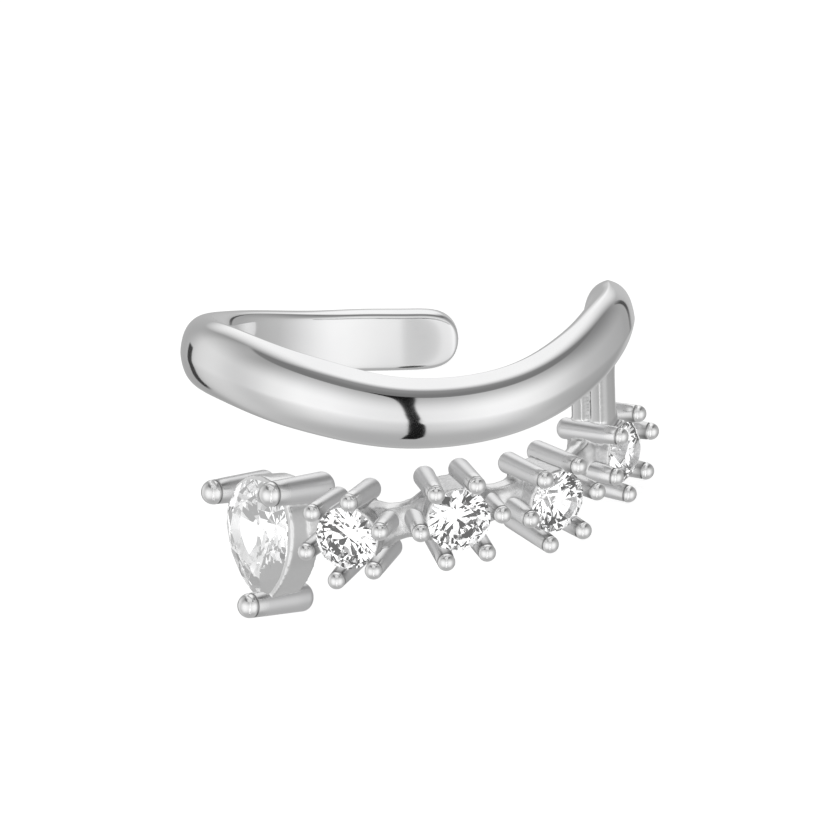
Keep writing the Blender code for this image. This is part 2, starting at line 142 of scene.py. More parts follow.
def setting_matrix(row):
    """A setting's own frame: +Z looks out of the stone, +Y up, +X to the right."""
    name, azimuth, drop, facing, nose, roll = row
    place = outward(azimuth) * ROW_RADIUS + Vector((ROW_SHIFT, 0, -ROW_DROP * drop))
    turn = Matrix.Rotation(math.radians(facing), 4, 'Z')
    tilt = Matrix.Rotation(math.radians(90 + nose), 4, 'X')
    return Matrix.Translation(place) @ turn @ tilt @ Matrix.Rotation(math.radians(roll), 4, 'Z')


def outward(azimuth):
    angle = math.radians(azimuth)
    return Vector((math.sin(angle), -math.cos(angle), 0.0))


places = {row[0]: setting_matrix(row) for row in ROW}
rounds = [row[0] for row in ROW if row[0] != "pear_stone"]
print("settings:", {name: [round(v, 2) for v in place.translation] for name, place in places.items()})

# %% [markdown]
# ## How the cuff lies
# The solid model lies on the table the way the real one comes to rest, tipped over on two claws and
# the edge of its paddle. We could write that turn down as numbers, but they would go stale as soon
# as the model changed. So we look for it: the four round stones have known places in the ring frame
# and known places on the table, and one turn and one move carry the first onto the second. The
# middle of a stone's volume lies a little behind its girdle, so that one depth is looked for too.

# %% Find the move from the ring frame to the table


def volume_middle(mesh):
    mesh.calc_loop_triangles()
    total, moment = 0.0, Vector()
    for triangle in mesh.loop_triangles:
        a, b, c = (mesh.vertices[k].co for k in triangle.vertices)
        part = a.dot(b.cross(c))
        total += part
        moment += part * (a + b + c) / 4
    return moment / total


def best_turn(start, goal):
    """The turn and move that bring the start points nearest to the goal points, and what is left."""
    start_middle, goal_middle = start.mean(0), goal.mean(0)
    left, _, right = np.linalg.svd((start - start_middle).T @ (goal - goal_middle))
    flip = np.diag([1, 1, np.sign(np.linalg.det(right.T @ left.T))])
    turn = right.T @ flip @ left.T
    move = goal_middle - turn @ start_middle
    return turn, move, np.abs(start @ turn.T + move - goal).max()


goal = np.array([volume_middle(nodes[name].data) for name in rounds])
tries = []
for depth in np.arange(0.0, 0.4, 0.002):
    start = np.array([places[name] @ Vector((0, 0, -depth)) for name in rounds]) / 1000
    tries.append((best_turn(start, goal)[2], depth, start))
miss, depth, start = min(tries, key=lambda found: found[0])
turn, move, miss = best_turn(start, goal)
REST = Matrix.Translation(Vector(move)) @ Matrix(turn.tolist()).to_4x4()
TO_TABLE = REST @ Matrix.Scale(0.001, 4)
print(f"stones meet within {1000 * miss:.4f} mm, volume middle {depth:.3f} mm behind the girdle")
print("the ring's axis leans", round(math.degrees(math.acos(REST[2][2])), 1), "degrees")

# %% [markdown]
# ## The camera
# The picture was taken from nearly in front of the band and a little above it, with a long lens, so
# that the near stones look hardly larger than the far ones. In the ring frame the camera stands 16
# degrees above the front. The small shift only places the jewel in the frame.

# %% Camera
CAMERA_RISE = math.radians(16.0)
CAMERA_DISTANCE = 0.095
FOCAL_PIXELS = 3420
FRAME_PIXELS = 836
RING_X, RING_Y = 407, 355    # the ring's middle in the picture, from its top left

back = Vector((0, -math.cos(CAMERA_RISE), math.sin(CAMERA_RISE)))
right = Vector((1, 0, 0))
above = back.cross(right)
aim = Matrix((right, above, back)).transposed().to_4x4()
lens = bpy.data.cameras.new("long_lens")
lens.sensor_width = 36.0
lens.lens = lens.sensor_width * FOCAL_PIXELS / FRAME_PIXELS
lens.shift_x = (FRAME_PIXELS / 2 - RING_X) / FRAME_PIXELS
lens.shift_y = (RING_Y - FRAME_PIXELS / 2) / FRAME_PIXELS
lens.clip_start = 0.001
camera = bpy.data.objects.new("camera", lens)
bpy.context.scene.collection.objects.link(camera)
camera.matrix_world = REST @ Matrix.Translation(back * CAMERA_DISTANCE) @ aim
bpy.context.scene.camera = camera
print("lens", round(lens.lens, 1), "mm, camera at", [round(v, 4) for v in camera.matrix_world.translation])

# %% [markdown]
# ## Writing a surface as arithmetic
# A node graph is easier to read as a formula. The class Wire holds one output of a node, and its
# plus, minus and times each add a Math node. The class Bench is one material's node tree, and its
# method add puts down any other node: its settings first, then what goes into its sockets.

# %% Wire


class Wire:
    """One output socket. Arithmetic on it adds Math nodes to its bench."""

    def __init__(self, bench, socket):
        self.bench, self.socket = bench, socket

    def math(self, operation, *others):
        return self.bench.add('ShaderNodeMath', {"operation": operation}, dict(enumerate((self, *others))))

    def __add__(self, other):
        return self.math('ADD', other)

    def __sub__(self, other):
        return self.math('SUBTRACT', other)

    def __rsub__(self, other):
        return self.bench.add('ShaderNodeMath', {"operation": 'SUBTRACT'}, {0: other, 1: self})

    def __mul__(self, other):
        return self.math('MULTIPLY', other)

    def __truediv__(self, other):
        return self.math('DIVIDE', other)

    __radd__ = __add__
    __rmul__ = __mul__

    def smooth(self, low, high):
        """0 below low, 1 above high, and a soft slope between."""
        return self.bench.add('ShaderNodeMapRange', {"interpolation_type": 'SMOOTHSTEP'},
                              {"Value": self, "From Min": low, "From Max": high})


print("a wire knows + - * / and smooth")

# %% Bench


class Bench:
    """The node tree of one material or of the world."""

    def __init__(self, owner):
        owner.use_nodes = True
        self.owner, self.tree = owner, owner.node_tree
        self.tree.nodes.clear()

    def add(self, kind, settings=None, inputs=None, output=0):
        node = self.tree.nodes.new(kind)
        for key, value in (settings or {}).items():
            if key == "stops":
                self.set_stops(node.color_ramp, value)
            else:
                setattr(node, key, value)
        for key, value in (inputs or {}).items():
            if isinstance(value, Wire):
                self.tree.links.new(value.socket, node.inputs[key])
            else:
                node.inputs[key].default_value = value
        return Wire(self, node.outputs[output]) if node.outputs else node

    def set_stops(self, ramp, stops):
        while len(ramp.elements) < len(stops):
            ramp.elements.new(1.0)
        for element, (place, grey) in zip(ramp.elements, stops):
            element.position = place
            element.color = (grey, grey, grey, 1.0)

    def noise(self, where, scale, detail=2.0, roughness=0.5):
        return self.add('ShaderNodeTexNoise', {"noise_dimensions": '3D'},
                        {"Vector": where, "Scale": scale, "Detail": detail, "Roughness": roughness})

    def place(self):
        """Where a point of the piece is, in metres."""
        return self.add('ShaderNodeTexCoord', output="Object")

    def blend(self, share, first, second):
        return self.add('ShaderNodeMix', {"data_type": 'RGBA'},
                        {"Factor": share, 6: first, 7: second}, output=2)


def material(name):
    return Bench(bpy.data.materials.new(name))


print("Bench is ready")

# %% [markdown]
# ## Polished silver
# The band and the claws of the real cuff are silver with a bright plated skin. Polishing leaves it
# almost a mirror: the surface hardly shows itself, only what it reflects. A perfect mirror looks
# false though. Real polish has very fine lines from the wheel and spots that are a touch duller, so
# the roughness wanders a little and a bump far too small to feel breaks the reflections' edges.

# %% Polished silver
silver = material("polished_silver")
where = silver.place()
cloud = silver.noise(where, 420.0, 3.0)
wheel = silver.add('ShaderNodeMapping', inputs={"Vector": where, "Scale": (600.0, 600.0, 9000.0)})
lines = silver.noise(wheel, 1.0, 3.0, 0.6)
dull = silver.noise(where, 2600.0, 4.0, 0.65).smooth(0.55, 0.8)
skin = silver.add('ShaderNodeBump', {}, {"Strength": 0.02, "Distance": 0.00001,
                                         "Height": lines * 0.6 + cloud * 0.4})
shader = silver.add('ShaderNodeBsdfPrincipled', {}, {
    "Base Color": silver.blend(cloud.smooth(0.3, 0.7), (0.90, 0.90, 0.905, 1), (0.94, 0.94, 0.94, 1)),
    "Metallic": 1.0,
    "Roughness": 0.055 + 0.03 * cloud + 0.04 * dull,
    "Normal": skin,
})
silver.add('ShaderNodeOutputMaterial', {}, {"Surface": shader})
print("polished silver:", len(silver.tree.nodes), "nodes")

# %% [markdown]
# ## Silver of the claws
# A claw is polished twice. The whole rod is tumbled with small steel pins, which leaves a soft
# shine, and then the setter burnishes the ball that is pressed over the stone until it is a mirror.
# The mesh will carry a painted value, 1 on the ball and 0 on the rod; the roughness follows it, and
# the rod is a little darker. A second value paints the crease under the ball nearly black: painted shade.

# %% Claw silver
burnished = material("claw_silver")
where = burnished.place()
polish = burnished.add('ShaderNodeAttribute', {"attribute_name": "polish"}, output="Fac")
crease = burnished.add('ShaderNodeAttribute', {"attribute_name": "crease"}, output="Fac")
cloud = burnished.noise(where, 1400.0, 3.0)
pins = burnished.noise(where, 6000.0, 3.0, 0.6)
skin = burnished.add('ShaderNodeBump', {}, {"Strength": 0.12, "Distance": 0.00001,
                                            "Height": (pins * 0.6 + cloud * 0.4) * (1.0 - 0.8 * polish)})
bare = burnished.blend(polish, (0.86, 0.86, 0.865, 1), (0.95, 0.95, 0.95, 1))
# The crease value paints the colour nearly black under each ball: painted shade.
shader = burnished.add('ShaderNodeBsdfPrincipled', {}, {
    "Base Color": burnished.blend(crease, bare, (0.10, 0.10, 0.10, 1)),
    "Metallic": 1.0,
    "Roughness": 0.30 - 0.23 * polish + 0.05 * cloud,
    "Normal": skin,
})
burnished.add('ShaderNodeOutputMaterial', {}, {"Surface": shader})
print("claw silver:", len(burnished.tree.nodes), "nodes")

# %% [markdown]
# ## Silver as it was cast
# Between the claws no polishing wheel can reach. There the skin still shows the fine grain of the
# plaster mould, softened by tumbling. It is the same metal, so above all the roughness and the bump
# change. A painted mask, made with the mesh, says where the wheel did not come. A second one marks
# the hollow of each cup behind its stone. Light hardly gets in there, so the colour is painted darker as
# shade.

# %% Cast silver
cast = material("cast_silver")
where = cast.place()
mask = cast.add('ShaderNodeAttribute', {"attribute_name": "cast_skin"}, output="Fac")
grain = cast.noise(where, 9000.0, 4.0, 0.6)
pits = cast.noise(where, 22000.0, 2.0)
cloud = cast.noise(where, 900.0, 3.0)
height = (grain * 0.7 + pits * 0.3) * mask + cloud * 0.05
skin = cast.add('ShaderNodeBump', {}, {"Strength": 0.22, "Distance": 0.00002, "Height": height})
hollow = cast.add('ShaderNodeAttribute', {"attribute_name": "hollow"}, output="Fac")
# The hollow darkens the colour as painted shade; the grain gives the cast skin its own uneven tone.
shade = 0.5 * hollow + 0.35 * mask * grain.smooth(0.7, 0.3)
shader = cast.add('ShaderNodeBsdfPrincipled', {}, {
    "Base Color": cast.blend(shade, (0.92, 0.92, 0.92, 1), (0.50, 0.50, 0.505, 1)),
    "Metallic": 1.0,
    "Roughness": 0.09 + mask * (0.10 + 0.12 * grain) + 0.03 * cloud,
    "Normal": skin,
})
cast.add('ShaderNodeOutputMaterial', {}, {"Surface": shader})
print("cast silver:", len(cast.tree.nodes), "nodes")

# %% [markdown]
# ## Cut crystal
# The stones are taken as clear cubic zirconia, which bends light nearly as much as diamond. All
# their life comes from that bending between true, flat facets. The material is simple: full
# transmission and the right index of refraction, with a hint of cloud in its colour and a trace of
# the polishing lines that every facet keeps. Three things are a photographer's. A filter on the lens
# takes off more than half of the glare, which is the low specular tint. A faint glow stands for the
# light that a render loses when it stops following a ray. And for rays that the silver mirrors, the
# stone is open where they meet it from outside, because in the picture the band shows no sparkle.
# Rays that are already inside the stone still find its facets.

# %% Crystal


def crystal(name, tint, glow):
    bench = material(name)
    where = bench.place()
    cloud = bench.noise(where, 700.0, 2.0)
    lines = bench.add('ShaderNodeTexWave', {"bands_direction": 'DIAGONAL'},
                      {"Vector": where, "Scale": 9000.0, "Distortion": 2.0, "Detail": 2.0})
    skin = bench.add('ShaderNodeBump', {}, {"Strength": 0.01, "Distance": 0.000002, "Height": lines})
    shader = bench.add('ShaderNodeBsdfPrincipled', {}, {
        "Base Color": bench.blend(cloud.smooth(0.3, 0.7), (*tint, 1), (1.0, 1.0, 1.0, 1)),
        "Roughness": 0.002 + 0.006 * cloud,
        "IOR": 2.17,
        "Transmission Weight": 1.0,
        "Specular Tint": (0.45, 0.45, 0.45, 1),
        "Emission Color": (1.0, 1.0, 1.0, 1),
        "Emission Strength": glow,
        "Normal": skin,
    })
    mirrored = bench.add('ShaderNodeLightPath', output="Is Glossy Ray")
    passed = bench.add('ShaderNodeLightPath', output="Transparent Depth")
    inside = bench.add('ShaderNodeNewGeometry', output="Backfacing")
    clear = bench.add('ShaderNodeBsdfTransparent')
    from_outside = (1.0 - inside).math('MAXIMUM', passed)
    open_outside = bench.add('ShaderNodeMixShader', {}, {0: from_outside, 1: shader, 2: clear})
    shader = bench.add('ShaderNodeMixShader', {}, {0: mirrored, 1: shader, 2: open_outside})
    bench.add('ShaderNodeOutputMaterial', {}, {"Surface": shader})
    return bench.owner


round_crystal = crystal("round_crystal", (0.985, 0.988, 0.992), 0.015)
pear_crystal = crystal("pear_crystal", (0.98, 0.985, 0.99), 0.06)
print("crystals:", round_crystal.name, pear_crystal.name)

# %% [markdown]
# ## From numbers to pieces
# Every shape in this lesson is a list of points and a list of faces. A few helpers make them: a skin
# over a row of rings, a profile turned round an axis as on a lathe, a move of a whole shape, and
# several shapes taken together as one.

# %% Shapes


def skinned(rings):
    """A closed skin over rings of equally many points."""
    count = len(rings[0])
    points = [point for ring in rings for point in ring]
    faces = []
    for r in range(len(rings) - 1):
        for i in range(count):
            j = (i + 1) % count
            faces.append((r * count + i, r * count + j, (r + 1) * count + j, (r + 1) * count + i))
    last = (len(rings) - 1) * count
    faces.append(tuple(reversed(range(count))))
    faces.append(tuple(range(last, last + count)))
    return points, faces


def lathed(profile, sides=40):
    """A solid turned about Z from (radius, height) points, lowest first, whose ends are on the axis."""
    turns = [2 * math.pi * k / sides for k in range(sides)]
    rings = [[Vector((radius * math.cos(turn), radius * math.sin(turn), height)) for turn in turns]
             for radius, height in profile[1:-1]]
    points, faces = skinned(rings)
    del faces[-2:]
    low, high = len(points), len(points) + 1
    points += [Vector((0, 0, profile[0][1])), Vector((0, 0, profile[-1][1]))]
    last = (len(rings) - 1) * sides
    for k in range(sides):
        n = (k + 1) % sides
        faces.append((low, n, k))
        faces.append((high, last + k, last + n))
    return points, faces


def moved(shape, matrix):
    points, faces = shape
    return [matrix @ Vector(point) for point in points], faces


def together(shapes):
    points, faces = [], []
    for some_points, some_faces in shapes:
        first = len(points)
        points += some_points
        faces += [tuple(first + k for k in face) for face in some_faces]
    return points, faces


print("a lathed rod has", len(lathed([(0, 0), (1, 0), (1, 1), (0, 1)])[1]), "faces")

# %% [markdown]
# ### From shapes to pieces on the table
# A shape becomes a Blender object, may go through a modifier, and is finished: carried from the ring
# frame to the table, dressed in its material, and the solid that it stands for is hidden.

# %% Objects, modifiers and the finishing step


def as_object(name, shape):
    """A new object with the shape, its faces turned outwards."""
    mesh = bpy.data.meshes.new(name)
    mesh.from_pydata(shape[0], [], shape[1])
    bm = bmesh.new()
    bm.from_mesh(mesh)
    bmesh.ops.recalc_face_normals(bm, faces=bm.faces)
    bm.to_mesh(mesh)
    bm.free()
    piece = bpy.data.objects.new(name, mesh)
    bpy.context.scene.collection.objects.link(piece)
    return piece


def modify(piece, kind, **settings):
    """Adds one modifier, applies it and gives the piece back."""
    step = piece.modifiers.new(kind.lower(), kind)
    for key, value in settings.items():
        setattr(step, key, value)
    bpy.context.view_layer.update()
    view = bpy.context.evaluated_depsgraph_get()
    done = bpy.data.meshes.new_from_object(piece.evaluated_get(view))
    piece.modifiers.clear()
    piece.data = done
    return piece


def finished(piece, finish, slot, node, crease=None):
    """Carries a piece to the table and dresses it. A crease of 0 leaves its faces flat."""
    piece.data.transform(TO_TABLE)
    piece.data.materials.clear()
    piece.data.materials.append(finish)
    if crease != 0:
        piece.data.shade_smooth()
        if crease:
            piece.data.set_sharp_from_angle(angle=math.radians(crease))
    piece.data.name = piece.name
    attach(piece, "root")
    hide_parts(node)
    # In the picture the band does not mirror the claws and the row, so mirror rays pass them by
    piece.visible_glossy = slot != "silver" or piece.name == "band"
    triangles = sum(len(face.vertices) - 2 for face in piece.data.polygons)
    print(f"{piece.name}: {triangles} triangles")
    return piece


# %% [markdown]
# ## The band
# The real band is one sweep of metal: a plump tube over the right end and the front, which thins
# and widens round the left turn into the flat paddle that sits behind the ear. It is drawn as
# rings of sixteen points, a coarse cage, and Blender's subdivision rounds it. That keeps its
# reflections flowing, where a fine mesh typed point by point shows every small unevenness. The
# cage is a trifle larger than the band, because subdivision draws a cage in. From front to right
# end the section changes from a dome with a flatter inner side to a plain oval.

# %% Curve through the band's table


def through(column, azimuth):
    """A smooth curve through one column of the band's table."""
    at = BAND[:, 0]
    values = BAND[:, column]
    k = int(np.clip(np.searchsorted(at, azimuth, side='left') - 1, 0, len(at) - 2))

    def slope(i):
        low, high = max(i - 1, 0), min(i + 1, len(at) - 1)
        return (values[high] - values[low]) / (at[high] - at[low])

    span = at[k + 1] - at[k]
    t = (azimuth - at[k]) / span
    start, end, leave, arrive = values[k], values[k + 1], slope(k) * span, slope(k + 1) * span
    return ((2 * t**3 - 3 * t**2 + 1) * start + (t**3 - 2 * t**2 + t) * leave
            + (3 * t**2 - 2 * t**3) * end + (t**3 - t**2) * arrive)


def band_centre(azimuth):
    turn = max(azimuth, PADDLE_START)
    radius = BAND_RADIUS * through(REACH, turn)
    centre = outward(turn) * radius
    if azimuth < turn:
        centre += outward(turn - 90) * math.radians(turn - azimuth) * radius
    centre.z = WAVE_RISE * through(RISE, azimuth)
    return centre


def band_size(azimuth):
    flat = float(np.clip(through(FLAT, azimuth), 0, 1))
    plain = BAND_THICKNESS + (PADDLE_THICKNESS - BAND_THICKNESS) * flat
    return BAND_HEIGHT * through(HEIGHT, azimuth), plain * through(STOUT, azimuth), flat


print("height at the front and at the paddle:", [round(band_size(a)[0], 2) for a in (0, -176)])

# %% Cage of the band
CAGE_SWELL = 1.026
CORNER_STEPS = 3
OVAL_FROM = 50.0             # degrees, where the section begins to turn into an oval
OVAL_OVER = 35.0
DOME_RINGS = (77, 60, 42, 22)
BAND_RINGS = 45
PADDLE_RINGS = (30, 55, 75, 90)


def corner_ring(height, thickness, outer, inner):
    """Points (out, up) round a section with elliptic corners, each given as (across, along)."""
    corners = [(1, 1, outer, 0), (-1, 1, inner, 90), (-1, -1, inner, 180), (1, -1, outer, 270)]
    points = []
    for out_side, up_side, (across, along), first in corners:
        for step in range(CORNER_STEPS + 1):
            angle = math.radians(first + 90 * step / CORNER_STEPS)
            points.append((out_side * (thickness / 2 - across) + across * math.cos(angle),
                           up_side * (height / 2 - along) + along * math.sin(angle)))
    return points


def toward(corner, goal, share):
    return tuple(a + (b - a) * share for a, b in zip(corner, goal))


def band_ring(azimuth, height, thickness, flat, swell=CAGE_SWELL):
    """One ring of the cage. The corners of the section are given as (across, along)."""
    half = height / 2
    outer = ((0.56 - 0.22 * flat) * thickness, (0.94 - 0.24 * flat) * half)
    inner = toward((0.40 * thickness, 0.80 * half), (PADDLE_EDGE, PADDLE_EDGE), flat)
    near_tip = min(max((azimuth - OVAL_FROM) / OVAL_OVER, 0.0), 1.0)
    outer = toward(outer, (0.50 * thickness, half), near_tip)
    inner = toward(inner, (0.48 * thickness, half), near_tip)
    centre = band_centre(azimuth)
    ahead = band_centre(azimuth + 0.5) - band_centre(azimuth - 0.5)
    out = outward(max(azimuth, PADDLE_START))
    up = out.cross(ahead).normalized()
    ring = corner_ring(height, thickness, outer, inner)
    return [centre + (out * x + up * y) * swell for x, y in ring]


def band_rings():
    """Rings from the domed right end over the front to the rounded end of the paddle."""
    degree = math.radians(1) * BAND_RADIUS
    rings = []
    for angle in DOME_RINGS:
        azimuth = BAND_END + BAND_DOME * math.sin(math.radians(angle)) / degree
        height, thickness, flat = band_size(azimuth)
        share = math.cos(math.radians(angle))
        rings.append(band_ring(azimuth, height * share, thickness * share, flat))
    paddle_end = PADDLE_START - PADDLE_PAD / degree
    last_full = paddle_end + PADDLE_CORNER / degree
    for azimuth in np.linspace(BAND_END, last_full, BAND_RINGS):
        rings.append(band_ring(azimuth, *band_size(azimuth)))
    for angle in PADDLE_RINGS:
        left = PADDLE_CORNER * (1 - math.sin(math.radians(angle)))
        azimuth = paddle_end + left / degree
        height, thickness, flat = band_size(azimuth)
        corner = PADDLE_CORNER * (1 - math.cos(math.radians(angle)))
        near = max(0.0, 1 - left / PADDLE_EDGE)
        edge = PADDLE_EDGE * (1 - math.sqrt(1 - near**2))
        swell = 1.0 + (CAGE_SWELL - 1.0) * flat
        rings.append(band_ring(azimuth, height - 2 * corner, thickness - 2 * edge, flat, swell))
    return rings


band = as_object("band", skinned(band_rings()))
band = modify(band, 'SUBSURF', levels=3, render_levels=3)
band = finished(band, silver.owner, "silver", "cuff_frame")

# %% [markdown]
# ## The claws
# Each claw is a short round rod that stands beside its stone, with a rounded back end and a ball at
# its tip, which a setter presses over the stone's edge. A lathe profile gives it: half a flattened
# ball, a straight taper, a small waist, half a ball.

# %% Shapes of the claws


def claw_shape(foot, tip, length):
    """A claw along +Z whose ball has its middle at the length."""
    quarter = [math.radians(angle) for angle in range(0, 90, 9)]
    profile = [(0.0, -foot * CLAW_BLUNT)]
    profile += [(foot * math.cos(a), -foot * CLAW_BLUNT * math.sin(a)) for a in reversed(quarter)]
    profile += [(foot + (tip - foot) * share, length * share) for share in (0.25, 0.5, 0.75)]
    profile += [(tip, length - 0.075), (tip - 0.012, length - 0.05), (tip - 0.035, length - 0.03)]
    profile += [(tip * math.cos(a), length + tip * math.sin(a)) for a in quarter]
    profile += [(0.0, length + tip)]
    return lathed(profile)


def along_z(start, end):
    """A frame at start whose +Z points to end."""
    turn = (end - start).to_track_quat('Z', 'Y')
    return Matrix.Translation(start) @ turn.to_matrix().to_4x4()


def round_claws(place, thinner=0.0, shorter=0.0):
    """Six claws round a stone, which lean out a little towards their balls."""
    tip_circle = STONE_RADIUS + CLAW_STANDOFF + CLAW_TIP
    start = Vector((tip_circle - CLAW_SPLAY, 0.0, -CLAW_BACK))
    end = Vector((tip_circle, 0.0, CLAW_FRONT))
    one = claw_shape(CLAW_FOOT - thinner, CLAW_TIP - thinner, (end - start).length - shorter)
    return [moved(one, place @ Matrix.Rotation(math.radians(60 * k), 4, 'Z') @ along_z(start, end))
            for k in range(6)]


def pear_claws(place, thinner=0.0, shorter=0.0):
    """Two claws at the pear's shoulders and one at its point."""
    shoulder = math.radians(PEAR_SHOULDER)
    reach = (PEAR_HALF_WIDTH + PEAR_HEAD) / 2 + PEAR_CLAW - PEAR_CLAW_BITE
    side, high = reach * math.cos(shoulder), reach * math.sin(shoulder)
    lowest = PEAR_POINT + PEAR_CLAW - PEAR_POINT_BITE
    length = PEAR_CLAW_BACK + PEAR_CLAW_FRONT - shorter
    one = claw_shape(PEAR_CLAW_FOOT - thinner, PEAR_CLAW - thinner, length)
    return [moved(one, place @ Matrix.Translation((x, y, -PEAR_CLAW_BACK)))
            for x, y in ((-side, high), (side, high), (0.0, -lowest))]


print("round claws:", CLAW_TIP, "mm in radius, pear claws:", PEAR_CLAW)

# %% Make and paint the claws


def near_settings(piece):
    """For each point of a piece: the number of its nearest setting and its place in that setting."""
    points = np.array([v.co for v in piece.data.vertices])
    local = np.array([(points - np.array(place.translation)) @ np.array(place.to_3x3())
                      for place in places.values()])
    nearest = (local**2).sum(2).argmin(0)
    return nearest, local[nearest, np.arange(len(points))]


def paint(piece, name, values):
    """Gives every point of the piece a number, which its material reads by name."""
    layer = piece.data.attributes.new(name, 'FLOAT', 'POINT')
    layer.data.foreach_set("value", np.asarray(values, np.float32))
    print(name, "on", piece.name, "has a mean of", round(float(np.mean(values)), 2))


claws = [claw for name in rounds for claw in round_claws(places[name])]
claws += pear_claws(places["pear_stone"])
claws = as_object("claws", together(claws))
nearest, local = near_settings(claws)
tip = np.where(nearest == 0, PEAR_CLAW_FRONT, CLAW_FRONT)
paint(claws, "polish", np.clip((local[:, 2] - tip + 0.30) / 0.25, 0, 1))
# The crease value is painted shade: a dark line in the colour under each ball.
paint(claws, "crease", 0.9 * np.exp(-((local[:, 2] - tip + 0.045) / 0.025)**2))
claws = finished(claws, burnished.owner, "silver", "cuff_frame")

# %% [markdown]
# ## Cups, bars and post
# The row looks cast in one piece: its cups, bars and claws melt into each other with soft
# hollows. Joined by Booleans they would meet in hard lines. Instead they are put together as
# overlapping solids and remeshed into one skin of tiny cells, and smoothing that skin rounds every
# hollow a little, as casting and tumbling do. The seats are cut afterwards, so their rims stay crisp.
# Claws go into it too, a little thinner and shorter than the finished ones, which then cover them.

# %% Outline, prism and cone


def pear_outline(grow=0.0, size=1.0, sides=96):
    """Points round the pear, point down: an oval whose lower half draws in to a point."""
    width, head, point = (length * size + grow for length in (PEAR_HALF_WIDTH, PEAR_HEAD, PEAR_POINT))
    points = []
    for k in range(sides):
        angle = 2 * math.pi * k / sides
        across, along = math.cos(angle), math.sin(angle)
        if along < 0:
            across *= abs(across)**PEAR_DRAW_IN
        points.append((width * across, (head if along > 0 else point) * along))
    return points


def pear_prism(near, far, front, back, size=1.0):
    return skinned([[Vector((x, y, -near)) for x, y in pear_outline(front, size)],
                    [Vector((x, y, -far)) for x, y in pear_outline(back, size)]])


def cone(near, far, front, back):
    return lathed([(0.0, -far), (back, -far), (front, -near), (0.0, -near)], 64)


print("the pear's outline has", len(pear_outline()), "points")

# %% Bars and post


def swelling_bar(start, end, out, up, height, thickness, swells):
    """A rounded bar, whose size changes along it by (place, size) pairs."""
    rings = []
    for along, size in swells:
        corner = (0.42 * thickness * size, 0.42 * height * size)
        ring = corner_ring(height * size, thickness * size, corner, corner)
        rings.append([start.lerp(end, along) + out * x + up * y for x, y in ring])
    return skinned(rings)


def bar_between(first, second):
    start, end = first @ Vector((0, 0, -BAR_SETBACK)), second @ Vector((0, 0, -BAR_SETBACK))
    way = (end - start).normalized()
    out = way.cross(Vector((0, 0, 1))).normalized()
    up = out.cross(way).normalized()
    swells = [(0, 1.55), (0.28, 1.35), (0.38, 1.08), (0.5, 1.0), (0.62, 1.08), (0.72, 1.35), (1, 1.55)]
    return swelling_bar(start, end, out, up, BAR_HEIGHT, BAR_THICKNESS, swells)


def post():
    """Two rods side by side, grown into one, from the last cup up into the band."""
    foot, top = places["round_stone_4"] @ Vector((0, 0, -POST_FOOT)), band_centre(POST_AZIMUTH)
    across, along = outward(POST_AZIMUTH - 90), outward(POST_AZIMUTH)
    swells = [(0, 1.15), (0.2, 1.05), (0.5, 1.0), (0.75, 1.0), (1, 1.1)]
    rods = []
    for side in (-0.24, 0.24):
        shift = along * side * POST_WIDTH
        rods.append(swelling_bar(foot + shift, top + shift, across, along,
                                 0.52 * POST_WIDTH, POST_THICKNESS, swells))
    return rods


print("a bar and the post are", BAR_HEIGHT, "and", POST_WIDTH, "mm wide")

# %% Put the solids together
CORE_THINNER = 0.02
cup_front = STONE_RADIUS + CLAW_STANDOFF
solids = [moved(pear_prism(RIM_DROP, PEAR_WALL_BACK, PEAR_WALL, PEAR_WALL / 2), places["pear_stone"])]
solids += pear_claws(places["pear_stone"], CORE_THINNER, 0.45)
for name in rounds:
    solids.append(moved(cone(RIM_DROP, CUP_BACK, cup_front, cup_front - CUP_TAPER), places[name]))
    solids += round_claws(places[name], CORE_THINNER, 0.30)
names = [row[0] for row in ROW]
solids += [bar_between(places[a], places[b]) for a, b in zip(names, names[1:])]
solids += post()
print(len(solids), "solids to melt together")

# %% Melt them together
CELL = 0.045
row = as_object("stone_row", together(solids))
row = modify(row, 'REMESH', mode='VOXEL', voxel_size=CELL, adaptivity=0.0)
row = modify(row, 'SMOOTH', factor=0.5, iterations=7)
print("cells:", len(row.data.polygons))

# %% [markdown]
# ### Seats and light holes
# Behind every stone the real cup is open, so that light comes in from the back. A cutter for each
# stone takes out the seat in front and the hole behind.

# %% Cut the seats


def pavilion_cutter(outline, depth, gap, bore):
    """The room for a stone and the hole behind it, cut from the front of the cup."""
    def ring(size, grow, height):
        return [Vector((x, y, height)) for x, y in outline(grow, size)]
    lowest = -depth * (1 - bore) - gap
    return skinned([ring(bore, 0.0, -4.0), ring(bore, 0.0, lowest),
                    ring(1.0, gap, -0.02), ring(1.0, gap, 0.6)])


def round_outline(grow, size):
    radius = STONE_RADIUS * size + grow
    turns = [math.radians(5 * k) for k in range(72)]
    return [(radius * math.cos(turn), radius * math.sin(turn)) for turn in turns]


SEAT_GAP = 0.02
round_cutter = pavilion_cutter(round_outline, STONE_DEPTH, SEAT_GAP, LIGHT_HOLE)
pear_cutter = pavilion_cutter(pear_outline, PEAR_DEPTH, SEAT_GAP, LIGHT_HOLE)
cutters = [moved(round_cutter, places[name]) for name in rounds]
cutters.append(moved(pear_cutter, places["pear_stone"]))
seats = as_object("seats", together(cutters))
row = modify(row, 'BOOLEAN', object=seats, operation='DIFFERENCE', solver='EXACT')
bpy.data.objects.remove(seats)
print("faces after cutting:", len(row.data.polygons))
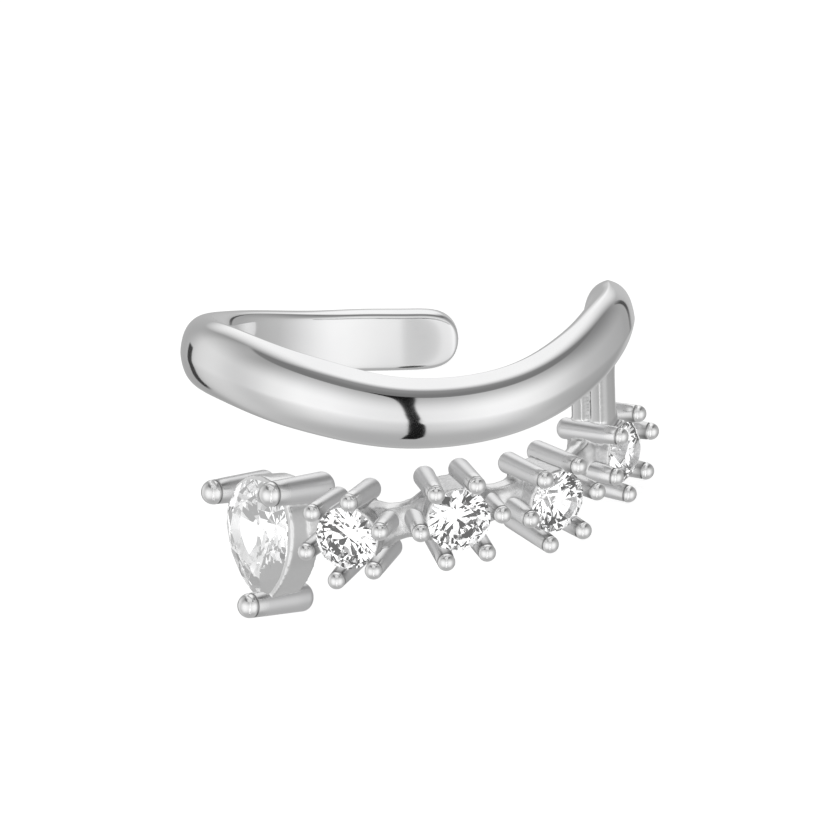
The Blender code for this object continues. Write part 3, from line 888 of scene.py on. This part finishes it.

# %% [markdown]
# ### Where the wheel did not reach
# Two values are painted on the row. One is 1 where the cast skin is left: between the cups and
# inside them, but not on the pear's wall, nor on the post above. The other marks the hollow behind
# each stone, where the colour is painted darker as shade. Both come from the distance to the middle
# line of the nearest setting.

# %% Paint the cast skin and the hollows
nearest, local = near_settings(row)
girth = np.hypot(local[:, 0], local[:, 1])
rough = np.where((girth > 1.0) & (girth <= 1.3), 0.7, 1.0)
rough = np.where(nearest == 0, 0.15, rough)
height = np.array([v.co.z for v in row.data.vertices])
below_post = np.clip((-1.5 - height) / 0.6, 0.05, 1.0)
paint(row, "cast_skin", rough * below_post)
# The hollow value darkens the cast silver's colour behind each stone: painted shade.
inside_cup = np.where(nearest == 0, 0.2, np.clip((1.15 - girth) / 0.15, 0.0, 1.0))
paint(row, "hollow", inside_cup * (local[:, 2] < -0.1))
row = finished(row, cast.owner, "silver", "cuff_frame", 42)

# %% [markdown]
# ## Cutting the stones
# A stone cutter grinds one flat facet after another into the rough. The script does the same with
# planes, which cut a plain prism of the stone's outline. Each plane touches the outline in one
# direction and is given by two points of its slope, as (share of the outline, height). A brilliant
# has a table, mains, stars and halves over the girdle, and mains and halves below it.

# %% Grinding


def ground(name, outline, facets, high, low):
    """A prism with the outline, cut by facets given as (parameter, (share, height), (share, height))."""
    points = [Vector((x, y, 0)) for x, y in outline]
    shape = skinned([[p + Vector((0, 0, low)) for p in points], [p + Vector((0, 0, high)) for p in points]])
    stone = as_object(name, shape)
    bm = bmesh.new()
    bm.from_mesh(stone.data)
    count = len(points)
    for turn, (share_a, height_a), (share_b, height_b) in facets:
        k = round(turn * count / 360) % count
        way = points[(k + 1) % count] - points[k - 1]
        normal = Vector((way.y, -way.x, 0)).normalized()
        offset = max(normal.dot(p) for p in points)
        rise = height_b - height_a
        run = offset * (share_b - share_a)
        plane = (normal * rise - Vector((0, 0, run)))
        if plane.dot(normal) < 0:
            plane.negate()
        cut = bmesh.ops.bisect_plane(bm, geom=bm.verts[:] + bm.edges[:] + bm.faces[:], dist=1e-6,
                                     plane_co=normal * offset * share_a + Vector((0, 0, height_a)),
                                     plane_no=plane.normalized(), clear_outer=True)
        edges = [e for e in cut["geom_cut"] if isinstance(e, bmesh.types.BMEdge)]
        if edges:
            bmesh.ops.holes_fill(bm, edges=[e for e in edges if e.is_boundary])
    bmesh.ops.remove_doubles(bm, verts=bm.verts, dist=1e-5)
    bmesh.ops.recalc_face_normals(bm, faces=bm.faces)
    bm.to_mesh(stone.data)
    bm.free()
    return stone


print("grinding takes one cut for each facet")

# %% The facets of a brilliant


def brilliant_facets(crown, depth, girdle, first=0.0):
    """Fifty-six facets: stars, mains and halves above, mains and halves below."""
    half = math.cos(math.radians(11.25))
    bezel = girdle + 0.60 * (crown - girdle)
    facets = []
    for k in range(8):
        facets.append((first + 45 * k + 22.5, (1.0, girdle), (0.56, crown)))
        facets.append((first + 45 * k, (0.80, bezel), (0.56 * math.cos(math.radians(22.5)), crown)))
        facets.append((first + 45 * k + 22.5, (1.0, -girdle), (0.0, -depth)))
    for k in range(16):
        facets.append((first + 22.5 * k + 11.25, (half, girdle), (0.80 * half, bezel)))
        facets.append((first + 22.5 * k + 11.25, (half, -girdle), (0.26, -0.76 * depth)))
    return facets


stone_facets = brilliant_facets(STONE_CROWN, STONE_DEPTH, 0.02 * STONE_RADIUS)
print("a round stone gets", len(stone_facets), "facets and its table")

# %% Cut the stones
turns = [math.radians(3.75 * k) for k in range(96)]
circle = [(STONE_RADIUS * math.cos(turn), STONE_RADIUS * math.sin(turn)) for turn in turns]
for name in rounds:
    stone = ground(name + "_cut", circle, stone_facets, STONE_CROWN, -STONE_DEPTH)
    stone.data.transform(places[name])
    finished(stone, round_crystal, "round_crystal", name, 0)

pear_facets = brilliant_facets(PEAR_CROWN, PEAR_DEPTH, 0.02 * PEAR_HALF_WIDTH, 22.5)
stone = ground("pear_stone_cut", pear_outline(), pear_facets, PEAR_CROWN, -PEAR_DEPTH)
stone.data.transform(places["pear_stone"])
finished(stone, pear_crystal, "pear_crystal", "pear_stone", 0)

# %% [markdown]
# ## The floor
# The jewel lies on plain white paper. Lit from the room alone the paper would come out grey, so it
# glows a little by itself, as a photographer's light table does, and shadows on it stay faint. In
# the picture the silver shows grey below, because the real one was cut out and set on white later.
# So reflections look past this sheet to the room under it.

# %% Floor
HALF_SHEET = 0.6
corners = [(-1, -1), (1, -1), (1, 1), (-1, 1)]
sheet = ([Vector((x * HALF_SHEET, y * HALF_SHEET, 0)) for x, y in corners], [(0, 1, 2, 3)])
floor = as_object("floor", sheet)
paper = material("white_paper")
fibre = paper.noise(paper.place(), 1500.0, 3.0)
skin = paper.add('ShaderNodeBump', {}, {"Strength": 0.05, "Distance": 0.0001, "Height": fibre})
shader = paper.add('ShaderNodeBsdfPrincipled', {}, {
    "Base Color": paper.blend(fibre, (0.48, 0.48, 0.48, 1), (0.52, 0.52, 0.52, 1)),
    "Roughness": 0.9, "Specular IOR Level": 0.0, "Normal": skin,
    "Emission Color": (1, 1, 1, 1), "Emission Strength": 0.80,
})
paper.add('ShaderNodeOutputMaterial', {}, {"Surface": shader})
floor.data.materials.append(paper.owner)
floor.visible_glossy = False
print("the paper is", 2 * HALF_SHEET, "m wide")

# %% [markdown]
# ## The room that the silver reflects
# Polished silver has no look of its own: it is a picture of the room. So the room is where the work
# goes. Painted on the sky it renders with far less noise than cards and lamps would. It is given in
# the ring frame's directions: azimuth to the right of the front and elevation above it. Two wide
# soft panels stand to the left and right of the camera, a grey strip above them, a bright panel
# overhead and behind, and a narrow black gap at the camera, which widens towards the floor and draws
# the black mark on the front of the band. Two more gaps behind, left and right, draw the fine dark
# lines near the band's two turns. A part beside the front gap is only greyed: the right half of the
# paddle mirrors it.

# %% Directions in the room
world = Bench(bpy.data.worlds.new("studio"))
bpy.context.scene.world = world.owner
sky = world.add('ShaderNodeTexCoord', output="Generated")


def along(axis):
    """How far the sky's direction goes along one axis of the ring frame."""
    way = tuple(REST.to_3x3().col[axis])
    return world.add('ShaderNodeVectorMath', {"operation": 'DOT_PRODUCT'}, {0: sky, 1: way}, output="Value")


def curve(wire, points):
    """A smooth curve along (degrees, brightness) points, from the first to the last."""
    first, last = points[0][0], points[-1][0]
    share = (wire - first) / (last - first)
    stops = [((at - first) / (last - first), grey) for at, grey in points]
    ramp = world.add('ShaderNodeValToRGB', {}, {"Fac": share})
    ramp.bench.set_stops(ramp.socket.node.color_ramp, stops)
    ramp.socket.node.color_ramp.interpolation = 'B_SPLINE' if len(points) > 6 else 'LINEAR'
    return ramp


def degrees_curve(wire, points):
    """The same for values from -30 to 20 degrees, given to the ramp as shares."""
    lowest, span = -30, 50
    return curve(wire, [(at, (value - lowest) / span) for at, value in points]) * span + lowest


DEGREES = 180 / math.pi
to_right, to_back, to_top = along(0), along(1), along(2)
azimuth = world.add('ShaderNodeMath', {"operation": 'ARCTAN2'}, {0: to_right, 1: to_back * -1.0}) * DEGREES
elevation = to_top.math('ARCSINE') * DEGREES
print("the room has", len(world.tree.nodes), "nodes so far")

# %% Panels and strip
rise = curve(elevation, [(-90, 0.46), (-62, 0.48), (-53, 0.54), (-44, 0.70), (-33, 0.86), (-16, 0.99),
                         (0, 1.05), (12, 1.01), (24, 0.84), (35, 0.68), (46, 0.55), (60, 0.50)])
round_about = curve(azimuth, [(-180, 0.50), (-158, 0.40), (-145, 0.45), (-132, 0.72), (-110, 0.78),
                              (-91, 0.60), (-72, 0.82), (-50, 1.06), (-28, 0.97), (-8, 0.86),
                              (10, 0.86), (30, 0.96), (50, 1.05), (72, 0.80), (92, 0.52),
                              (130, 0.42), (146, 0.36), (156, 0.56), (168, 0.56), (180, 0.50)])
below = elevation.smooth(-30.0, -60.0)
panels = rise * (round_about + below * (0.95 - round_about))
STRIP_GREY = 0.20
strip = elevation.smooth(49.0, 52.0)
panels = panels + strip * (STRIP_GREY + 0.08 * elevation.smooth(58.0, 74.0) - panels)
print("the room has", len(world.tree.nodes), "nodes with its panels")

# %% The black gap in front
left_edge = degrees_curve(elevation, [(-74, -16.0), (-69, -8.0), (-61, -4.5), (-54, -0.6), (-33, 0.2),
                                      (-14, 0.8), (-2, 0.9), (6, 0.2), (20, -0.5), (31, -1.1),
                                      (40, -1.8), (48, -3.5), (54, -20.0)])
right_edge = degrees_curve(elevation, [(-74, 5.0), (-66, 12.5), (-58, 12.6), (-44, 10.7), (-35, 9.9),
                                       (-25, 6.3), (-8, 6.1), (-2, 7.0), (4, 6.8), (12, 5.3),
                                       (25, 5.2), (31, 5.9), (40, 6.9), (54, 9.0)])
gap = (azimuth - left_edge).smooth(-0.5, 0.5) * (right_edge - azimuth).smooth(-0.5, 0.5)
gap = gap * elevation.smooth(-74.0, -70.0) * elevation.smooth(54.0, 52.0)
print("the room has", len(world.tree.nodes), "nodes with its black gap")

# %% Small gaps and the paddle's grey
beside_gap = azimuth.smooth(8.8, 7.0) * azimuth.smooth(2.0, 3.0)
beside_gap = beside_gap * elevation.smooth(-28.0, -24.0) * elevation.smooth(-2.0, -8.0)
left_gap = (azimuth + 142.0 + 2.5 * elevation.smooth(-12.0, -26.0)).math('ABSOLUTE') - 3.6
left_gap = left_gap.smooth(1.0, -0.6) * elevation.smooth(-33.0, -30.0) * elevation.smooth(-3.0, -5.0)
right_gap = azimuth.smooth(146.0, 147.0) * azimuth.smooth(152.0, 151.0)
right_gap = right_gap * elevation.smooth(-24.0, 4.0) * elevation.smooth(26.0, 23.0)
for dark, depth in ((beside_gap, 0.26), (gap, 0.98), (left_gap, 0.9), (right_gap, 0.8)):
    panels = panels * (1.0 - depth * dark)
print("the room has", len(world.tree.nodes), "nodes with its gaps")

# %% [markdown]
# ## Overhead, inside the stones, and the white behind
# The overhead panel reaches from behind the jewel to above it. It is measured as a distance from a
# line that runs over the top, so its edge is soft and its ends are round. A stone should sparkle more
# than this calm room lets it. Its rays get a brighter room with small dark specks, and a dark place in
# front where the photographer stands. The camera itself sees plain white behind the paper.

# %% Overhead panel and the world's output
OVERHEAD = 0.98
STONE_ROOM = 1.55
SPECK_DEPTH = 1.50
round_back = world.add('ShaderNodeMath', {"operation": 'ARCTAN2'}, {0: to_top, 1: to_back * -1.0}) * DEGREES
round_back = round_back + 360.0 * round_back.math('LESS_THAN', -90.0)
past_end = (105.0 - round_back).math('MAXIMUM', round_back - 150.0).math('MAXIMUM', 0.0)
sideways = to_right.math('ABSOLUTE').math('ARCSINE') * DEGREES
overhead = OVERHEAD * (past_end * past_end + sideways * sideways).math('SQRT').smooth(38.0, 10.0)
light = panels.math('MAXIMUM', overhead)
through_stone = world.add('ShaderNodeLightPath', output="Is Transmission Ray")
specks = world.noise(sky, 6.5, 1.0).smooth(0.59, 0.63)
in_front = azimuth.math('ABSOLUTE').smooth(18.0, 14.0)
in_front = in_front * elevation.smooth(-4.0, 2.0) * elevation.smooth(42.0, 36.0)
sparkle = STONE_ROOM - SPECK_DEPTH * in_front.math('MAXIMUM', specks)
light = light + through_stone * (sparkle - light)
seen = world.add('ShaderNodeLightPath', output="Is Camera Ray")
light = light + seen * (1.0 - light)
room = world.add('ShaderNodeBackground', {}, {"Color": light, "Strength": 1.0})
world.add('ShaderNodeOutputWorld', {}, {"Surface": room})
bpy.context.scene.view_settings.view_transform = 'Standard'
print("the room has", len(world.tree.nodes), "nodes")

# %% [markdown]
# ## Fill lamps for the claws
# A ball mirrors the whole room, so the black gap and the dark strip would draw the same black marks
# on every one of the claws' balls. In the picture they are clean. So soft lamps stand in the gap and
# in the strip, from high to low, and light linking lets them shine on the claws and the row alone.
# A lamp that fills a dark place as brightly as a panel of brightness 1 needs 4 watts for each square
# metre of its own size.

# %% Soft lamps
LAMP_AWAY = 0.3
LAMP_AZIMUTH = 2.7
LAMP_HALF_HEIGHT = 15.0
LAMPS = [                    # elevation, half of the width in degrees, brightness
    (66, 20.0, 0.36),
    (38, 4.5, 0.47),
    (8, 3.4, 0.74),
    (-22, 5.0, 0.70),
    (-52, 6.6, 0.45),
]
fill_lit = bpy.data.collections.new("lit_by_the_fill_lamps")
for piece in (claws, row):
    fill_lit.objects.link(piece)
for lamp_rise, half_width, brightness in LAMPS:
    lamp = bpy.data.lights.new("fill_lamp", 'AREA')
    lamp.shape = 'RECTANGLE'
    lamp.size = 2 * LAMP_AWAY * math.tan(math.radians(half_width))
    lamp.size_y = 2 * LAMP_AWAY * math.tan(math.radians(LAMP_HALF_HEIGHT))
    lamp.energy = brightness * 4 * lamp.size * lamp.size_y
    slope = math.radians(lamp_rise)
    way = outward(LAMP_AZIMUTH) * math.cos(slope) + Vector((0, 0, math.sin(slope)))
    holder = bpy.data.objects.new("fill_lamp", lamp)
    bpy.context.scene.collection.objects.link(holder)
    holder.matrix_world = REST @ along_z(way * LAMP_AWAY, way * 2 * LAMP_AWAY)
    holder.visible_camera = False
    holder.light_linking.receiver_collection = fill_lit
